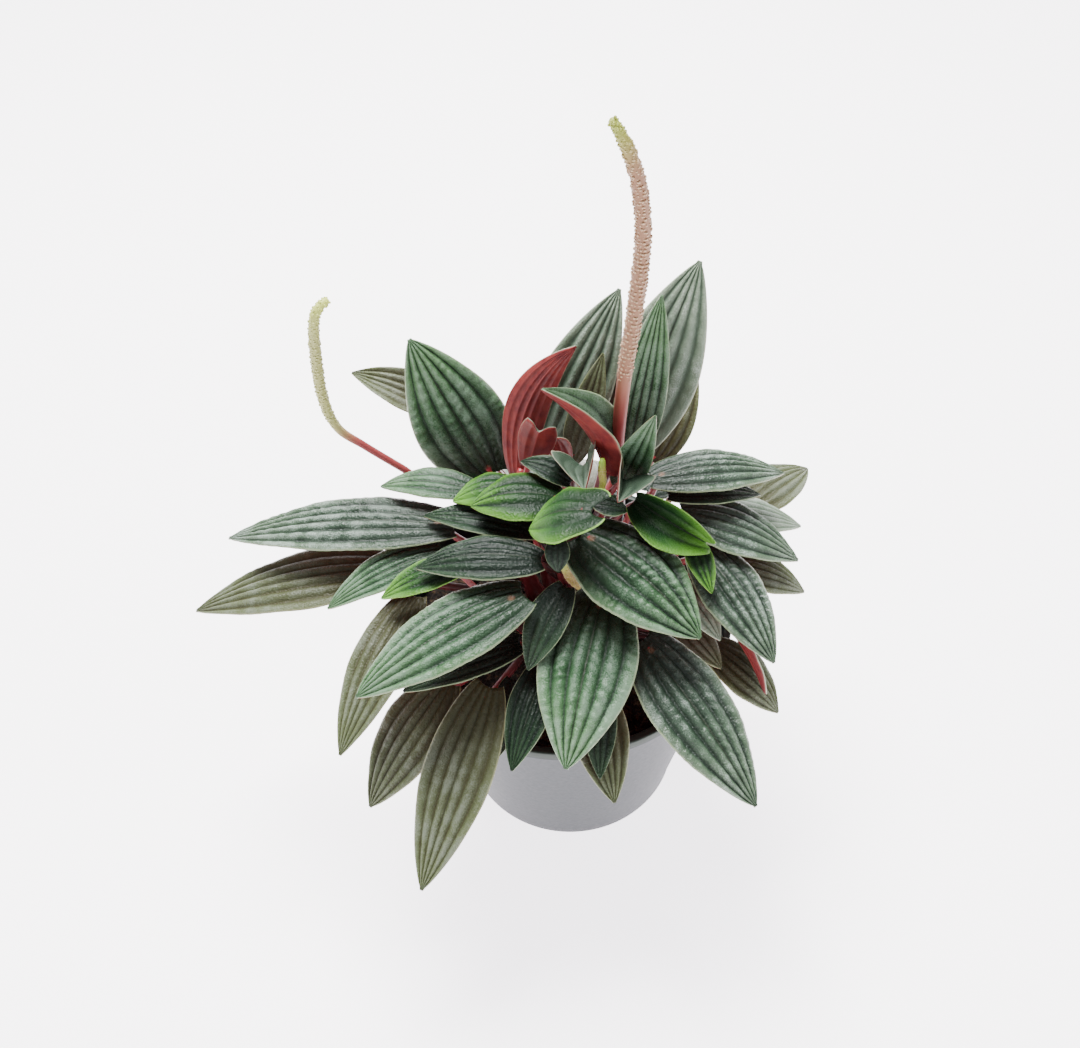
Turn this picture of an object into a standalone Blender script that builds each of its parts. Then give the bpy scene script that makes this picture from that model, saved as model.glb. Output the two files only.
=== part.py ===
"""Ripple peperomia in a tapered plastic pot: metres, +Z up, origin at the middle of the pot's foot.

The leaves are placed by sighting. Each one gives the pixel of its stalk joint and of its tip in the
1080 x 1048 photograph, with the real height of both above the table, and sight() turns a pixel and a
height into a point in space.
"""

import math
from collections import namedtuple

import bmesh
import bpy
from mathutils import Matrix, Vector

MM = 0.001

# Pot and soil, in millimetres
POT_HEIGHT = 95.0
POT_RIM_RADIUS = 60.0
POT_FOOT_RADIUS = 42.0
POT_WALL = 1.4
POT_FLOOR = 2.0
POT_LIP_WIDTH = 2.8
POT_LIP_DROP = 5.0
POT_SIDES = 40
SOIL_TOP = 84.0
SOIL_SIDES = 40
SOIL_LUMP = 1.2
GAP = 0.3

# The photograph's viewpoint: focal length in pixels, angles in degrees, lengths in millimetres
PHOTO_WIDTH_PX = 1080
PHOTO_HEIGHT_PX = 1048
PHOTO_FOCAL_PX = 1200.0
VIEW_ELEVATION = 50.0
VIEW_ROLL = -3.4
VIEW_DISTANCE = 399.0
VIEW_AIM = Vector((-7.4, 0.0, 142.9))
VIEW_BACK = Vector((0.0, -math.cos(math.radians(VIEW_ELEVATION)), math.sin(math.radians(VIEW_ELEVATION))))

# Leaf build, in millimetres
BLADE_THICKNESS = 0.9
RIPPLE_DEPTH = 0.045
JOINT_SHARE = 0.07
MIDRIB_KEEL = 0.15
PETIOLE_RADIUS = 1.3
PETIOLE_LEAN = 0.8
PETIOLE_RUNS = 5
STEM_RADIUS = 4.0
STEM_DEPTH = 8.0
CROWN_RADIUS = 13.0
CROWN_DEPTH = 14.0

# Where a large and a small blade have their rows across: edges, ridges and the sunk veins between them
LARGE_ACROSS = (-1.0, -0.62, -0.36, -0.18, 0.0, 0.18, 0.36, 0.62, 1.0)
SMALL_ACROSS = (-1.0, -0.55, -0.28, 0.0, 0.28, 0.55, 1.0)
LARGE_ALONG = 8
SMALL_ALONG = 6
SMALL_LENGTH = 40.0

# joint and tip: pixels in the photograph. joint_z and tip_z: height above the table. width: across the
# blade. arch: how far the middle stands above a straight line. bank: turn about the midrib, positive
# with the left edge up, seen from the joint. fold: edge lift as a share of the half width, negative
# where the edges curl down. stem: the stem that carries it, where that isn't the nearest.
Leaf = namedtuple("Leaf", "joint tip joint_z tip_z width arch bank fold stem", defaults=(None,))

LEAVES = {
    "top": [
        Leaf((585, 509), (527, 527), 171, 158, 23, 4, 0, -0.20),
        Leaf((552, 495), (470, 503), 157, 154, 21, 5, 0, -0.25),
        Leaf((515, 486), (452, 499), 151, 148, 15, 4, 0, -0.25),
        Leaf((568, 480), (521, 460), 157, 161, 9, 3, 0, 0.15),
        Leaf((583, 485), (575, 455), 161, 166, 9, 1, 0, 0.90),
        Leaf((622, 498), (632, 474), 161, 165, 9, 1, 0, 0.90),
        Leaf((622, 482), (655, 417), 150, 184, 12, 2, 0, 0.30, 1),
    ],
    "front": [
        Leaf((589, 542), (702, 636), 150, 136, 29, 6, 0, -0.22),
        Leaf((600, 605), (565, 769), 134, 112, 32, 6, 0, -0.22),
        Leaf((651, 650), (758, 806), 122, 96, 28, 5, 0, -0.22),
        Leaf((511, 598), (354, 695), 143, 130, 26, 6, 0, -0.20),
        Leaf((532, 557), (415, 565), 150, 146, 18, 5, 0, -0.25),
        Leaf((563, 592), (527, 670), 140, 125, 14, 3, 0, 0.15),
        Leaf((545, 668), (511, 771), 118, 104, 15, 3, 0, 0.10),
        Leaf((512, 645), (402, 690), 120, 113, 17, 4, 0, 0.05),
        Leaf((590, 690), (615, 803), 108, 92, 19, 4, 0, -0.15),
        Leaf((600, 690), (600, 779), 118, 103, 11, 2, 0, 0.1),
        Leaf((557, 540), (558, 573), 156, 148, 8, 2, 0, 0.1),
    ],
    "low": [
        Leaf((483, 700), (420, 891), 112, 76, 24, 4, 0, -0.10),
        Leaf((440, 690), (368, 807), 107, 79, 24, 4, 0, -0.10),
        Leaf((408, 605), (338, 755), 126, 103, 20, 5, 0, -0.15),
        Leaf((718, 650), (780, 712), 100, 84, 18, 4, 0, -0.10),
        Leaf((680, 624), (722, 668), 107, 100, 12, 2, 0, 0.0),
        Leaf((685, 590), (721, 640), 125, 116, 11, 2, 0, 0.0),
        Leaf((724, 618), (768, 693), 114, 94, 14, 2, 70, 0.1),
    ],
    "left": [
        Leaf((437, 522), (227, 535), 139, 125, 24, 6, 0, -0.20),
        Leaf((380, 568), (194, 608), 122, 104, 26, 6, 0, -0.15),
        Leaf((432, 553), (326, 607), 134, 122, 16, 4, 0, 0.05),
        Leaf((455, 568), (380, 597), 141, 133, 13, 3, 0, 0.0),
        Leaf((470, 488), (380, 484), 144, 142, 14, 4, 0, -0.1),
        Leaf((530, 530), (424, 514), 144, 143, 14, 3, 0, 0.1),
        Leaf((440, 408), (352, 372), 135, 150, 16, 3, 0, 0.3, 5),
    ],
    "right": [
        Leaf((662, 474), (785, 470), 156, 148, 19, 5, 0, -0.25),
        Leaf((745, 505), (808, 466), 122, 118, 20, 4, 0, -0.10),
        Leaf((675, 492), (761, 493), 148, 141, 13, 3, 0, -0.1),
        Leaf((700, 512), (802, 524), 136, 126, 18, 4, 0, -0.15),
        Leaf((690, 512), (800, 558), 142, 129, 22, 5, 0, -0.2),
        Leaf((725, 562), (806, 590), 126, 114, 18, 4, 0, -0.1),
        Leaf((705, 552), (776, 662), 135, 118, 22, 5, 0, -0.2),
        Leaf((645, 499), (715, 541), 156, 147, 20, 3, 10, -0.30),
        Leaf((692, 541), (712, 593), 145, 138, 9, 1, 0, 0.1),
    ],
    "back": [
        Leaf((488, 468), (410, 341), 130, 184, 33, 5, 0, -0.12),
        Leaf((549, 444), (619, 290), 140, 196, 26, 4, 0, -0.05),
        Leaf((522, 468), (577, 345), 144, 190, 15, 3, 180, 0.25),
        Leaf((574, 454), (603, 354), 143, 180, 12, 2, 0, 0.15, 5),
        Leaf((607, 458), (545, 388), 158, 192, 13, 6, -50, 0.2),
        Leaf((626, 440), (700, 262), 142, 204, 31, 4, 0, -0.08),
        Leaf((628, 456), (662, 296), 147, 202, 17, 3, 0, -0.05),
        Leaf((655, 456), (697, 371), 130, 155, 16, 3, 0, 0.0),
        Leaf((529, 463), (541, 424), 152, 170, 13, 2, 180, 0.30),
    ],
    "rear": [
        Leaf((580, 484), (580, 458), 118, 90, 22, 4, 0, -0.15),
        Leaf((520, 484), (490, 460), 115, 86, 22, 4, 0, -0.15),
        Leaf((653, 487), (701, 465), 113, 87, 24, 4, 0, -0.15),
    ],
}

# Where the short stems end above the soil, in millimetres. They lean out from one crown in the middle.
STEMS = [
    (0.0, 0.0, 140.0),
    (20.0, 6.0, 130.0),
    (-19.0, 8.0, 126.0),
    (14.0, -20.0, 116.0),
    (-16.0, -20.0, 114.0),
    (4.0, 24.0, 122.0),
    (-8.0, 18.0, 118.0),
    (13.0, 15.0, 124.0),
]
LEAFY_STEMS = 6
CROWN_SHARE = 0.3

# Flower spikes: the stem that each stands on, then pixels up to its tip with the height of each, the
# radius from the stem to the tip, and the point from which it carries florets
Spike = namedtuple("Spike", "stem route heights radii rough_from")

SPIKES = {
    "spike_tall": Spike(
        7,
        ((619, 470), (618, 440), (624, 380), (635, 310), (643, 240), (639, 185), (626, 145), (611, 118)),
        (146, 163, 190, 216, 240, 258, 270, 277),
        (1.9, 1.9, 1.9, 2.1, 2.3, 2.4, 2.3, 2.1, 1.8, 1.2),
        4,
    ),
    "spike_left": Spike(
        6,
        ((440, 490), (402, 468), (365, 446), (338, 428), (323, 398), (315, 350), (315, 315), (328, 299)),
        (131, 143, 155, 164, 177, 196, 209, 212),
        (1.3, 1.3, 1.3, 1.3, 1.3, 1.5, 1.8, 1.8, 1.6, 1.2),
        5,
    ),
    "spike_bud": Spike(
        1,
        ((604, 492), (603, 482), (602, 470), (602, 459)),
        (153, 159, 165, 170),
        (1.0, 1.0, 1.0, 1.2, 1.3, 0.8),
        3,
    ),
    "spike_curled": Spike(
        3,
        ((594, 590), (583, 588), (572, 580), (566, 571), (563, 561)),
        (124, 129, 135, 141, 145),
        (1.0, 1.0, 1.1, 1.3, 1.4, 1.3, 0.8),
        3,
    ),
}
SPIKE_KNOTS = 34
FLORET_HEIGHT = 0.18

COLOURS = {
    "pot": ((0.50, 0.55, 0.57, 1.0), 0.45),
    "soil": ((0.035, 0.025, 0.02, 1.0), 0.95),
    "stalk": ((0.55, 0.10, 0.12, 1.0), 0.4),
    "blade": ((0.06, 0.16, 0.08, 1.0), 0.35),
    "spike": ((0.55, 0.50, 0.24, 1.0), 0.6),
}


def sight(pixel, height):
    """The point, in millimetres, that a pixel of the photograph shows at a height above the table."""
    roll = math.radians(VIEW_ROLL)
    level = Vector((1.0, 0.0, 0.0))
    upright = VIEW_BACK.cross(level)
    right = math.cos(roll) * level + math.sin(roll) * upright
    up = math.cos(roll) * upright - math.sin(roll) * level
    eye = VIEW_AIM + VIEW_DISTANCE * VIEW_BACK
    ray = (
        (pixel[0] - PHOTO_WIDTH_PX / 2) * right
        - (pixel[1] - PHOTO_HEIGHT_PX / 2) * up
        - PHOTO_FOCAL_PX * VIEW_BACK
    )
    return eye + ray * ((height - eye.z) / ray.z)


def leaf_axes(leaf):
    """The stalk joint, and the blade's length with its own directions: along, to the left, and up."""
    joint = sight(leaf.joint, leaf.joint_z)
    span = sight(leaf.tip, leaf.tip_z) - joint
    along = span.normalized()
    steep = min(1.0, 1.3 * max(0.0, along.z))
    facing = Vector((0.0, 0.0, 1.0)).lerp(VIEW_BACK, steep)
    up = (facing - facing.dot(along) * along).normalized()
    up = Matrix.Rotation(-math.radians(leaf.bank), 3, along) @ up
    return joint, span.length, along, up.cross(along), up


def half_width(share):
    """A blade's half width as a share of its widest, from the base lobe at 0 to the tip at 1."""
    return max(0.05, math.sin(math.pi * min(share, 1.0) ** 0.82) ** 0.78)


def blade_point(leaf, length, along_share, across):
    """A point of the blade's upper face in its own axes: along, left, up."""
    full = length * (1.0 + JOINT_SHARE)
    half = 0.5 * leaf.width * half_width(0.06 + 0.94 * along_share)
    lobe = -0.35 * half * (across * across) * max(0.0, 1.0 - 5.0 * along_share)
    x = full * along_share - JOINT_SHARE * length + lobe
    rise = 4.0 * leaf.arch * along_share * (1.0 - along_share)
    joint_rise = 4.0 * leaf.arch * JOINT_SHARE * (1.0 - JOINT_SHARE)
    curl = leaf.fold * half * abs(across) ** 1.6
    reach = abs(across)
    vein = math.cos(math.pi * reach / 0.18) if reach < 0.37 else -math.cos(math.pi * (reach - 0.62) / 0.52)
    envelope = math.sin(math.pi * min(1.0, max(0.0, along_share))) ** 0.5
    ripple = -RIPPLE_DEPTH * leaf.width * 0.5 * vein * envelope
    return Vector((x, half * across, rise - joint_rise + curl + ripple))


def material(name):
    """The named finish."""
    found = bpy.data.materials.get(name)
    if found:
        return found
    found = bpy.data.materials.new(name)
    found.use_nodes = True
    shader = found.node_tree.nodes["Principled BSDF"]
    colour, roughness = COLOURS[name]
    shader.inputs["Base Color"].default_value = colour
    shader.inputs["Roughness"].default_value = roughness
    return found


def add_object(name, data, collection, finish):
    """A new object of this mesh or curve in the collection."""
    obj = bpy.data.objects.new(name, data)
    collection.objects.link(obj)
    data.materials.append(material(finish))
    return obj


def add_blade(name, leaf, collection):
    """A rippled blade: a grid bent to the leaf's form and thickened downwards."""
    joint, length, along, left, up = leaf_axes(leaf)
    small = length < SMALL_LENGTH
    rows_across = SMALL_ACROSS if small else LARGE_ACROSS
    rows_along = SMALL_ALONG if small else LARGE_ALONG
    mesh = bpy.data.meshes.new(name)
    grid = bmesh.new()
    bmesh.ops.create_grid(grid, x_segments=rows_along, y_segments=len(rows_across) - 1, size=0.5)
    for vertex in grid.verts:
        along_share = vertex.co.x + 0.5
        across = rows_across[round((vertex.co.y + 0.5) * (len(rows_across) - 1))]
        place = blade_point(leaf, length, along_share, across)
        vertex.co = (joint + place.x * along + place.y * left + place.z * up) * MM
    bmesh.ops.triangulate(grid, faces=grid.faces[:])
    grid.to_mesh(mesh)
    grid.free()
    blade = add_object(name, mesh, collection, "blade")
    thick = blade.modifiers.new("thickness", "SOLIDIFY")
    thick.thickness = BLADE_THICKNESS * MM
    thick.offset = -1.0
    return blade


def add_tube(name, points, radii, collection, finish, resolution=1):
    """A tube through these points, in millimetres, as a welded mesh."""
    curve = bpy.data.curves.new(name, "CURVE")
    curve.dimensions = "3D"
    curve.bevel_depth = MM
    curve.bevel_resolution = resolution
    curve.use_fill_caps = True
    spline = curve.splines.new("POLY")
    spline.points.add(len(points) - 1)
    for knot, point, radius in zip(spline.points, points, radii):
        knot.co = (*(point * MM), 1.0)
        knot.radius = radius
    guide = bpy.data.objects.new(name + "_guide", curve)
    collection.objects.link(guide)
    graph = bpy.context.evaluated_depsgraph_get()
    mesh = bpy.data.meshes.new_from_object(guide.evaluated_get(graph))
    bpy.data.objects.remove(guide)
    welded = bmesh.new()
    welded.from_mesh(mesh)
    bmesh.ops.remove_doubles(welded, verts=welded.verts, dist=1e-6)
    welded.to_mesh(mesh)
    welded.free()
    mesh.materials.clear()
    return add_object(name, mesh, collection, finish)


def bezier(a, b, c, d, count):
    """Points along one cubic curve."""
    shares = [i / count for i in range(count + 1)]
    return [
        a * (1 - t) ** 3 + b * 3 * t * (1 - t) ** 2 + c * 3 * t * t * (1 - t) + d * t**3 for t in shares
    ]


def petiole_route(leaf):
    """From inside the nearest stem to just under the blade's joint."""
    joint, length, along, _, up = leaf_axes(leaf)
    stem = nearest_stem(joint) if leaf.stem is None else STEMS[leaf.stem]
    start_z = min(stem[2] - 6.0, max(SOIL_TOP + 6.0, joint.z - 32.0))
    start = stem_point(stem, start_z)
    slope = 4.0 * leaf.arch * (1.0 - 2.0 * JOINT_SHARE) / length
    face = (up - slope * along).normalized()
    away = Vector((joint.x - start.x, joint.y - start.y, 0.0))
    away = away.normalized() if away.length > 1.0 else Vector((0.0, 0.0, 0.0))
    steep = max(0.0, along.z)
    arrive = (face + PETIOLE_LEAN * (1.0 - steep) * away + 2.0 * steep * along).normalized()
    tilt = face.angle(arrive)
    valley = 0.5 * RIPPLE_DEPTH * leaf.width + MIDRIB_KEEL
    end = joint - face * (BLADE_THICKNESS + GAP + valley + petiole_radius(leaf) * math.sin(tilt))
    pull = 0.45 * (end - start).length
    leave = (Vector((0.0, 0.0, 1.0)) + away).normalized()
    return bezier(start, start + pull * leave, end - 0.6 * pull * arrive, end, PETIOLE_RUNS)


def nearest_stem(joint):
    """The closest stem that stands further in than the joint does, or the middle one."""
    reach = 0.8 * math.hypot(joint.x, joint.y)
    inner = [stem for stem in STEMS[:LEAFY_STEMS] if math.hypot(stem[0], stem[1]) < reach]
    return min(inner or STEMS[:1], key=lambda stem: math.hypot(stem[0] - joint.x, stem[1] - joint.y))


def stem_point(stem, height):
    """The middle of a leaning stem at this height."""
    share = CROWN_SHARE + (1.0 - CROWN_SHARE) * (height - SOIL_TOP) / (stem[2] - SOIL_TOP)
    return Vector((stem[0] * share, stem[1] * share, height))


def petiole_radius(leaf):
    """A petiole's radius where it meets the blade."""
    return PETIOLE_RADIUS * min(1.0, 0.5 + 0.018 * leaf.width)


def join_all(base, tools):
    """Adds every object of the collection to the base in one Boolean union, and removes them."""
    union = base.modifiers.new("join", "BOOLEAN")
    union.operation = "UNION"
    union.operand_type = "COLLECTION"
    union.collection = tools
    apply_modifiers(base)
    for obj in list(tools.objects):
        bpy.data.objects.remove(obj)
    bpy.data.collections.remove(tools)


def apply_modifiers(obj):
    """Replaces an object's mesh with its evaluated one."""
    graph = bpy.context.evaluated_depsgraph_get()
    mesh = bpy.data.meshes.new_from_object(obj.evaluated_get(graph))
    obj.modifiers.clear()
    obj.data = mesh


def tool_collection(name):
    """A new collection for objects that are joined into a node or cut it."""
    tools = bpy.data.collections.new(name)
    bpy.context.scene.collection.children.link(tools)
    return tools


def add_stalks(collection):
    """The short stems and every leaf's petiole, joined in one red body."""
    tools = tool_collection("petioles")
    for number, stem in enumerate(STEMS):
        points = [stem_point(stem, height) for height in (SOIL_TOP - STEM_DEPTH, SOIL_TOP + 12.0, stem[2])]
        radii = (STEM_RADIUS, STEM_RADIUS, 0.7 * STEM_RADIUS)
        add_tube(f"stem_{number}", points, radii, tools, "stalk", resolution=2)
    for group, leaves in LEAVES.items():
        for number, leaf in enumerate(leaves, 1):
            route = petiole_route(leaf)
            radii = [petiole_radius(leaf) * (1.35 - 0.35 * i / PETIOLE_RUNS) for i in range(len(route))]
            add_tube(f"petiole_{group}_{number}", route, radii, tools, "stalk")
    crown = add_crown(collection)
    join_all(crown, tools)
    return crown


def add_crown(collection):
    """The buried base that all the stems rise from."""
    bpy.ops.mesh.primitive_cylinder_add(
        vertices=16, radius=CROWN_RADIUS * MM, depth=CROWN_DEPTH * MM
    )
    crown = bpy.context.object
    crown.data.transform(Matrix.Translation((0.0, 0.0, (SOIL_TOP - 0.5 * CROWN_DEPTH + 2.0) * MM)))
    crown.name = "stems_and_petioles"
    crown.data.materials.append(material("stalk"))
    for owner in list(crown.users_collection):
        owner.objects.unlink(crown)
    collection.objects.link(crown)
    return crown


def add_spike(name, spike, collection):
    """A flower spike: a smooth stalk, then a cone-like tip ringed with small raised florets."""
    stem = STEMS[spike.stem]
    lean = (Vector(stem) - stem_point(stem, SOIL_TOP)).normalized()
    route = [sight(pixel, height) for pixel, height in zip(spike.route, spike.heights)]
    rise = 0.35 * (route[0] - Vector(stem)).length
    anchors = [Vector(stem) + 2.0 * GAP * lean, Vector(stem) + rise * lean, *route]
    points, radii = smooth_route(anchors, spike.radii, SPIKE_KNOTS)
    rough = spike.rough_from / (len(anchors) - 1)
    for knot in range(len(points)):
        if knot / SPIKE_KNOTS > rough and knot < SPIKE_KNOTS:
            radii[knot] += FLORET_HEIGHT * (1 if knot % 2 else -1)
    return add_tube(name, points, radii, collection, "spike")


def smooth_route(anchors, sizes, count):
    """Evenly shared points on a smooth curve through the anchors, with the size at each."""
    points, radii = [], []
    last = len(anchors) - 1
    for step in range(count + 1):
        place = step / count * last
        i = min(int(place), last - 1)
        t = place - i
        before, a, b, after = (anchors[max(0, min(last, k))] for k in (i - 1, i, i + 1, i + 2))
        points.append(
            0.5 * (2 * a + (b - before) * t + (2 * before - 5 * a + 4 * b - after) * t * t
                   + (3 * a - before - 3 * b + after) * t**3)
        )
        radii.append(sizes[i] * (1 - t) + sizes[i + 1] * t)
    return points, radii


def turned(name, profile, sides, collection, finish):
    """A solid turned about Z from a profile of (radius, height) points in millimetres."""
    mesh = bpy.data.meshes.new(name)
    outline = bmesh.new()
    corners = [outline.verts.new((radius * MM, 0.0, height * MM)) for radius, height in profile]
    for first, second in zip(corners, corners[1:]):
        outline.edges.new((first, second))
    outline.to_mesh(mesh)
    outline.free()
    body = add_object(name, mesh, collection, finish)
    screw = body.modifiers.new("turn", "SCREW")
    screw.steps = screw.render_steps = sides
    screw.use_merge_vertices = True
    screw.merge_threshold = 1e-5
    apply_modifiers(body)
    body.data.shade_smooth()
    body.data.set_sharp_from_angle(angle=math.radians(35))
    return body


def add_pot(collection):
    """The tapered pot: a thin wall that thickens inwards to a flat lip, and a closed foot."""
    taper = (POT_RIM_RADIUS - POT_FOOT_RADIUS) / POT_HEIGHT
    lip_z = POT_HEIGHT - POT_LIP_DROP
    profile = [
        (0.0, POT_FLOOR),
        (POT_FOOT_RADIUS + taper * POT_FLOOR - POT_WALL, POT_FLOOR),
        (POT_FOOT_RADIUS + taper * lip_z - POT_WALL, lip_z),
        (POT_RIM_RADIUS - POT_LIP_WIDTH, POT_HEIGHT - 1.0),
        (POT_RIM_RADIUS - POT_LIP_WIDTH + 0.6, POT_HEIGHT),
        (POT_RIM_RADIUS - 0.6, POT_HEIGHT),
        (POT_RIM_RADIUS, POT_HEIGHT - 0.8),
        (POT_FOOT_RADIUS + 1.2, 1.6),
        (POT_FOOT_RADIUS, 0.0),
        (0.0, 0.0),
    ]
    return turned("pot", profile, POT_SIDES, collection, "pot")


def add_soil(collection):
    """Potting soil that fills the pot, lumpy on top, with a plain hole for the stems' shared base."""
    taper = (POT_RIM_RADIUS - POT_FOOT_RADIUS) / POT_HEIGHT
    bottom_z = POT_FLOOR + GAP
    inner = POT_FOOT_RADIUS - POT_WALL - GAP
    rings = (0.0, 22.0, 38.0)
    profile = [(radius, SOIL_TOP) for radius in rings]
    profile += [(inner + taper * (SOIL_TOP - 1.5), SOIL_TOP - 1.5), (inner + taper * bottom_z, bottom_z)]
    profile += [(0.0, bottom_z)]
    soil = turned("soil", profile, SOIL_SIDES, collection, "soil")
    for vertex in soil.data.vertices:
        x, y, z = vertex.co / MM
        if z > SOIL_TOP - 1.0 and math.hypot(x, y) > CROWN_RADIUS + 3.0:
            vertex.co.z += SOIL_LUMP * math.sin(0.31 * x + 0.17 * y) * math.cos(0.37 * y - 0.11 * x) * MM
    tools = tool_collection("soil_cutters")
    bpy.ops.mesh.primitive_cylinder_add(
        vertices=16, radius=(CROWN_RADIUS + GAP) * MM, depth=(CROWN_DEPTH + 10.0) * MM
    )
    hole = bpy.context.object
    drop = SOIL_TOP + 2.0 - CROWN_DEPTH - GAP + 0.5 * (CROWN_DEPTH + 10.0)
    hole.data.transform(Matrix.Translation((0.0, 0.0, drop * MM)))
    hole.name = "crown_hole"
    for owner in list(hole.users_collection):
        owner.objects.unlink(hole)
    tools.objects.link(hole)
    hole.hide_render = True
    hole.display_type = "WIRE"
    cut = soil.modifiers.new("hole", "BOOLEAN")
    cut.operation = "DIFFERENCE"
    cut.object = hole
    return soil


def main():
    """Builds the potted plant."""
    for obj in list(bpy.data.objects):
        bpy.data.objects.remove(obj)
    plant = bpy.data.collections.new("ripple_peperomia")
    bpy.context.scene.collection.children.link(plant)
    for group, leaves in LEAVES.items():
        for number, leaf in enumerate(leaves, 1):
            add_blade(f"leaf_{group}_{number}", leaf, plant)
    for name, spike in SPIKES.items():
        add_spike(name, spike, plant)
    add_stalks(plant)
    add_pot(plant)
    add_soil(plant)


main()
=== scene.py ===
"""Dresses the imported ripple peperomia: furrowed leaves, red stalks, knobbed flower spikes, soil and pot.

Lengths are in millimetres until a mesh is made, and the shaders' patterns are in metres. The leaves are
placed by sighting: each one gives the pixel of its stalk joint and of its tip in the 1080 x 1048
photograph, with the real height of both above the table.
"""

import logging
import math
from dataclasses import dataclass
from enum import Enum

import bmesh
import bpy
import numpy as np
from mathutils import Matrix, Vector


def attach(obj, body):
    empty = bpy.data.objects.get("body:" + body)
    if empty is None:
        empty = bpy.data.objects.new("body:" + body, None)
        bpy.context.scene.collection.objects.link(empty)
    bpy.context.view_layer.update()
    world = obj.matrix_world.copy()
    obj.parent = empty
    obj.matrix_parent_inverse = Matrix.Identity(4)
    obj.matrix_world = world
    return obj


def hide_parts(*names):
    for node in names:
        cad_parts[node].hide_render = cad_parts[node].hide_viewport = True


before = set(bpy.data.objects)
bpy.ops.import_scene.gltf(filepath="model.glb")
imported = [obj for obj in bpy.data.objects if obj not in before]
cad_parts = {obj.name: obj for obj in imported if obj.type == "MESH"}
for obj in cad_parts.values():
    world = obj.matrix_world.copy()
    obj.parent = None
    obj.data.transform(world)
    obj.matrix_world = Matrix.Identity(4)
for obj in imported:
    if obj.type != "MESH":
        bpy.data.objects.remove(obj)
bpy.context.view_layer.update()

LOG = logging.getLogger("peperomia")
MM = 0.001
Colour = tuple[float, float, float]
Pixel = tuple[float, float]


@dataclass(frozen=True)
class Viewpoint:
    """The photograph's camera: focal length in pixels, angles in degrees, lengths in millimetres."""

    width_px: int = 1080
    height_px: int = 1048
    focal_px: float = 1200.0
    elevation: float = 50.0
    roll: float = -3.4
    distance: float = 399.0
    aim: tuple[float, float, float] = (-7.4, 0.0, 142.9)
    sensor_mm: float = 36.0

    def axes(self) -> tuple[Vector, Vector, Vector]:
        """Finds the camera's own directions.

        Returns:
            The directions to its right, up the picture, and back towards the camera.
        """
        rise, roll = math.radians(self.elevation), math.radians(self.roll)
        back = Vector((0.0, -math.cos(rise), math.sin(rise)))
        level = Vector((1.0, 0.0, 0.0))
        upright = back.cross(level)
        right = math.cos(roll) * level + math.sin(roll) * upright
        return right, math.cos(roll) * upright - math.sin(roll) * level, back

    def eye(self) -> Vector:
        """The camera's place in millimetres."""
        return Vector(self.aim) + self.distance * self.axes()[2]

    def sight(self, pixel: Pixel, height: float) -> Vector:
        """Finds what a pixel shows at a known height.

        Args:
            pixel: Column and row in the photograph.
            height: Height above the table in millimetres.

        Returns:
            The point in millimetres.
        """
        right, up, back = self.axes()
        eye = self.eye()
        ray = (
            (pixel[0] - self.width_px / 2) * right
            - (pixel[1] - self.height_px / 2) * up
            - self.focal_px * back
        )
        return eye + ray * ((height - eye.z) / ray.z)


VIEW = Viewpoint()


class AgeAndLight(Enum):
    """How old a leaf is, or how it has coloured; three of these are copies painted darker for leaves in
    shade and lighter for leaves that catch the light.
    """

    YOUNG = "young"
    MATURE = "mature"
    # Painted light: lighter crests and more painted sheen, for leaves that catch the light.
    SILVERY = "lit_sheen"
    # Painted shade: a near-black copy for leaves deep in the rosette.
    DARK = "dark"
    OLIVE = "olive"
    # Painted light: a much lighter copy for leaves that catch the light.
    PALE = "pale"
    GREY = "grey"


class Value:
    """A socket in a material's node tree, with arithmetic that adds Math nodes."""

    def __init__(self, finish: "Finish", socket: bpy.types.NodeSocket) -> None:
        """Keeps the socket and the finish that owns it."""
        self.finish = finish
        self.socket = socket

    def math(self, operation: str, *others: "Value | float") -> "Value":
        """Adds a Math node on this value and the others.

        Args:
            operation: The node's operation.
            others: What follows this value, in the node's order.

        Returns:
            The result.
        """
        inputs = dict(enumerate((self, *others)))
        return self.finish.node("ShaderNodeMath", {"operation": operation}, inputs)

    def __add__(self, other: "Value | float") -> "Value":
        """This value plus the other."""
        return self.math("ADD", other)

    def __sub__(self, other: "Value | float") -> "Value":
        """This value less the other."""
        return self.math("SUBTRACT", other)

    def __mul__(self, other: "Value | float") -> "Value":
        """This value times the other."""
        return self.math("MULTIPLY", other)

    def __rsub__(self, other: float) -> "Value":
        """A number less this value."""
        return self.finish.node("ShaderNodeMath", {"operation": "SUBTRACT"}, {0: other, 1: self})

    __radd__ = __add__
    __rmul__ = __mul__

    def smooth(self, low: float, high: float) -> "Value":
        """Eases this value from 0 at low to 1 at high."""
        settings = {"interpolation_type": "SMOOTHSTEP"}
        return self.finish.node("ShaderNodeMapRange", settings, {0: self, 1: low, 2: high})


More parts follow.
